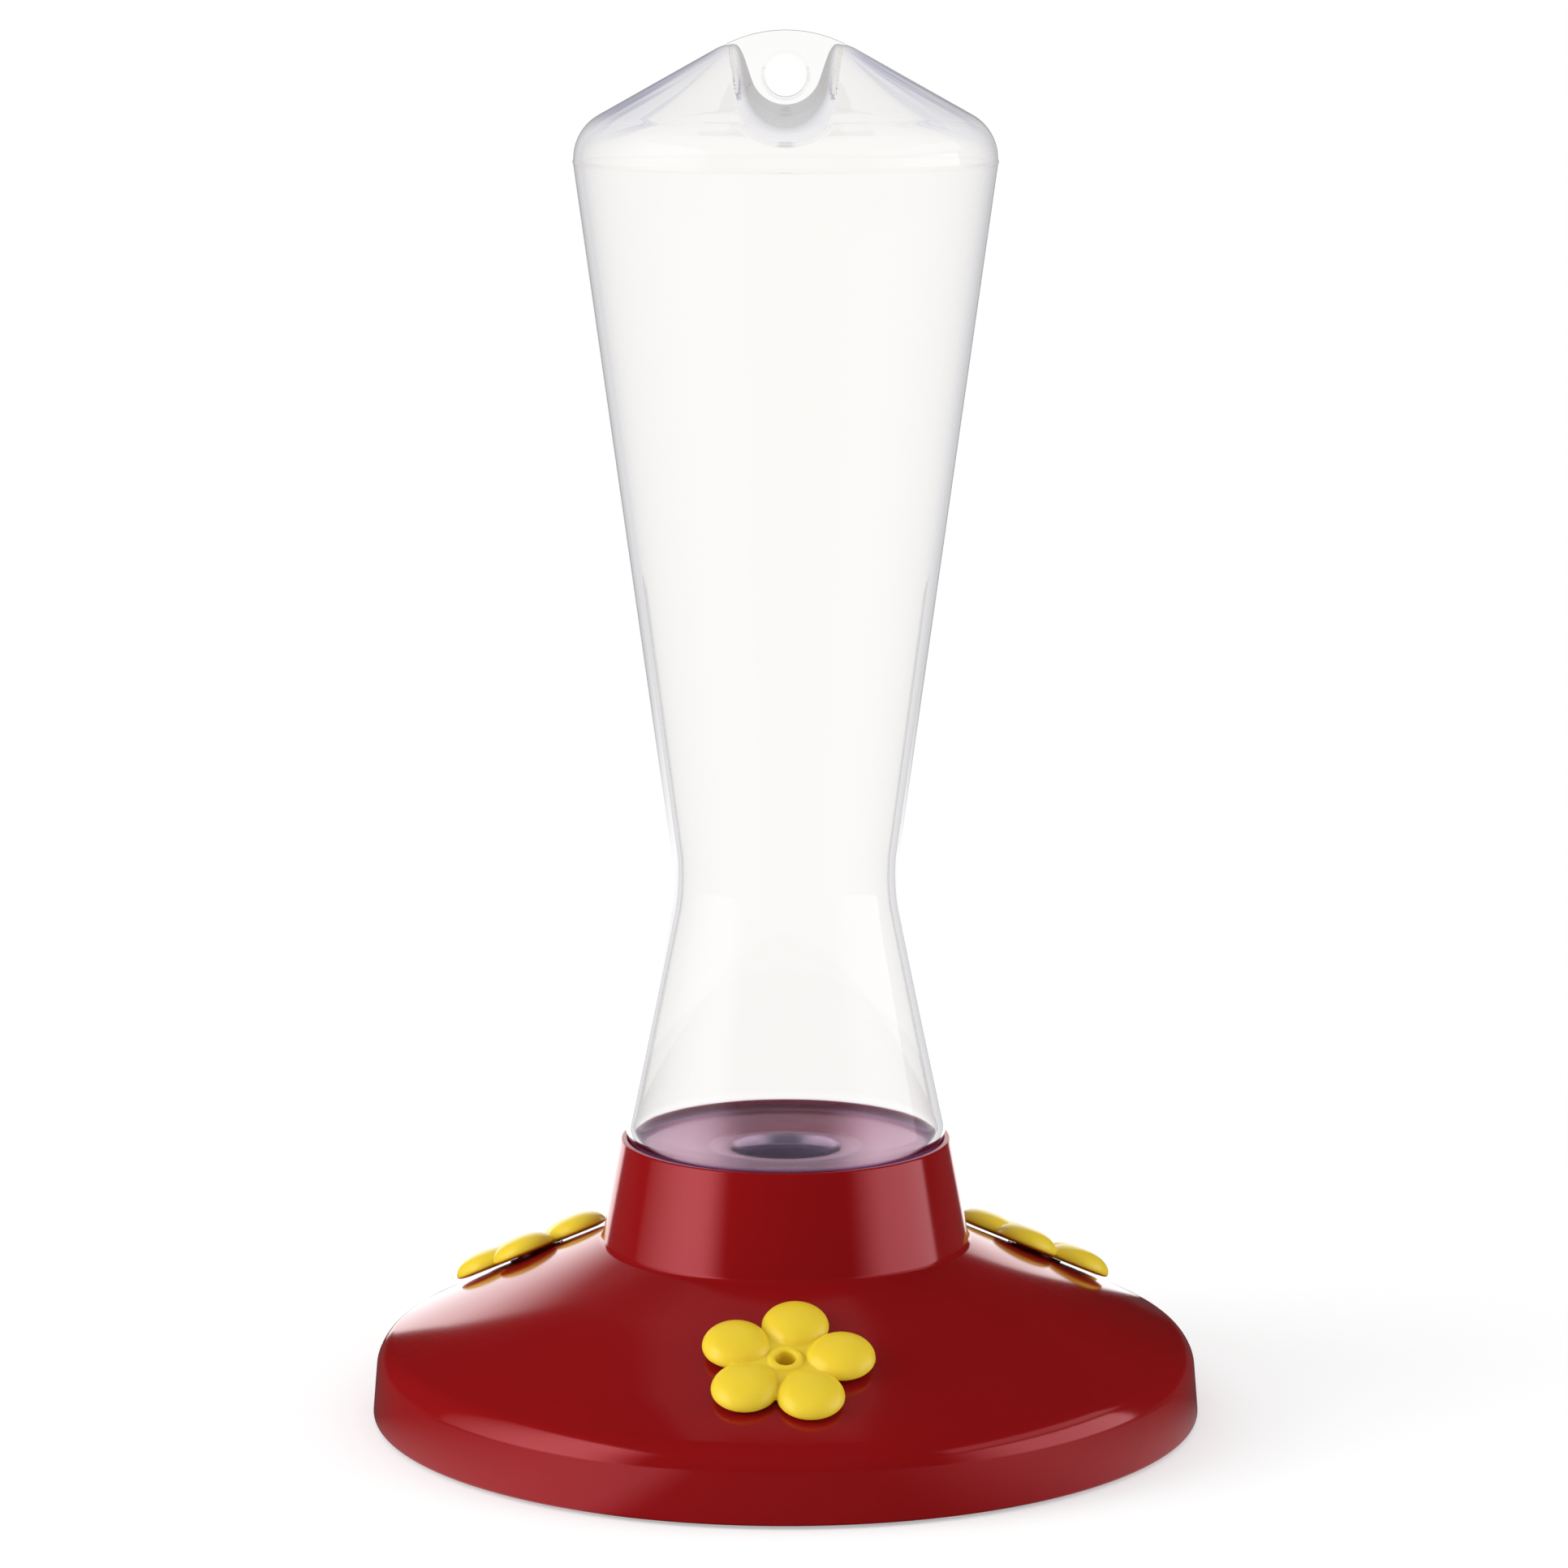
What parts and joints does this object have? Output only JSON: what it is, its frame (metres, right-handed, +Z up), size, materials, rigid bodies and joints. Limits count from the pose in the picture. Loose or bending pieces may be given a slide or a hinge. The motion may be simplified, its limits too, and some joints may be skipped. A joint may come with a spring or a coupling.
{
  "type": "hummingbird feeder",
  "caption": "Hummingbird feeder with a clear pinch-waisted nectar bottle screwed neck down into a red domed base with yellow flower feeding ports.",
  "frame": {"origin": "on the table under the middle of the base", "axes": "+Z up along the bottle's axis, -Y towards the front flower, the hanging hole runs along Y"},
  "size_m": [0.125, 0.125, 0.2076],
  "materials": {
    "cover_plastic": "high gloss",
    "tray_plastic": "high gloss",
    "bottle_plastic": "clear gloss",
    "gasket_rubber": "satin",
    "flower_plastic": "gloss"
  },
  "bodies": {
    "tray": {"nectar_tray": "tray_plastic"},
    "cover": {"base_cover": "cover_plastic"},
    "gasket": {"neck_gasket": "gasket_rubber"},
    "bottle": {"bottle": "bottle_plastic"},
    "front_flower": {"flower_front": "flower_plastic"},
    "left_flower": {"flower_left": "flower_plastic"},
    "right_flower": {"flower_right": "flower_plastic"}
  },
  "joints": [
    {"name": "cover_twist", "type": "hinge", "parent": "tray", "child": "cover", "pos_m": [0, 0, 0], "axis": [0, 0, 1], "range_deg": [0, 26]},
    {"name": "neck_rise", "type": "slide", "parent": "cover", "child": "gasket", "axis": [0, 0, 1], "range_m": [0, 0.0048]},
    {"name": "bottle_turn", "type": "hinge", "parent": "gasket", "child": "bottle", "pos_m": [0, 0, 0], "axis": [0, 0, 1], "range_deg": [0, 480]},
    {"name": "front_flower_spin", "type": "hinge", "parent": "cover", "child": "front_flower", "pos_m": [0, -0.0446, 0.0187], "axis": [0, -0.4274, 0.9041], "continuous": true},
    {"name": "right_flower_spin", "type": "hinge", "parent": "cover", "child": "right_flower", "pos_m": [0.03862, 0.0223, 0.0187], "axis": [0.3701, 0.2137, 0.9041], "continuous": true},
    {"name": "left_flower_spin", "type": "hinge", "parent": "cover", "child": "left_flower", "pos_m": [-0.03862, 0.0223, 0.0187], "axis": [-0.3701, 0.2137, 0.9041], "continuous": true}
  ],
  "couplings": [
    {"joint": "neck_rise", "follows": "bottle_turn", "m_per_rad": 0.00055704}
  ]
}
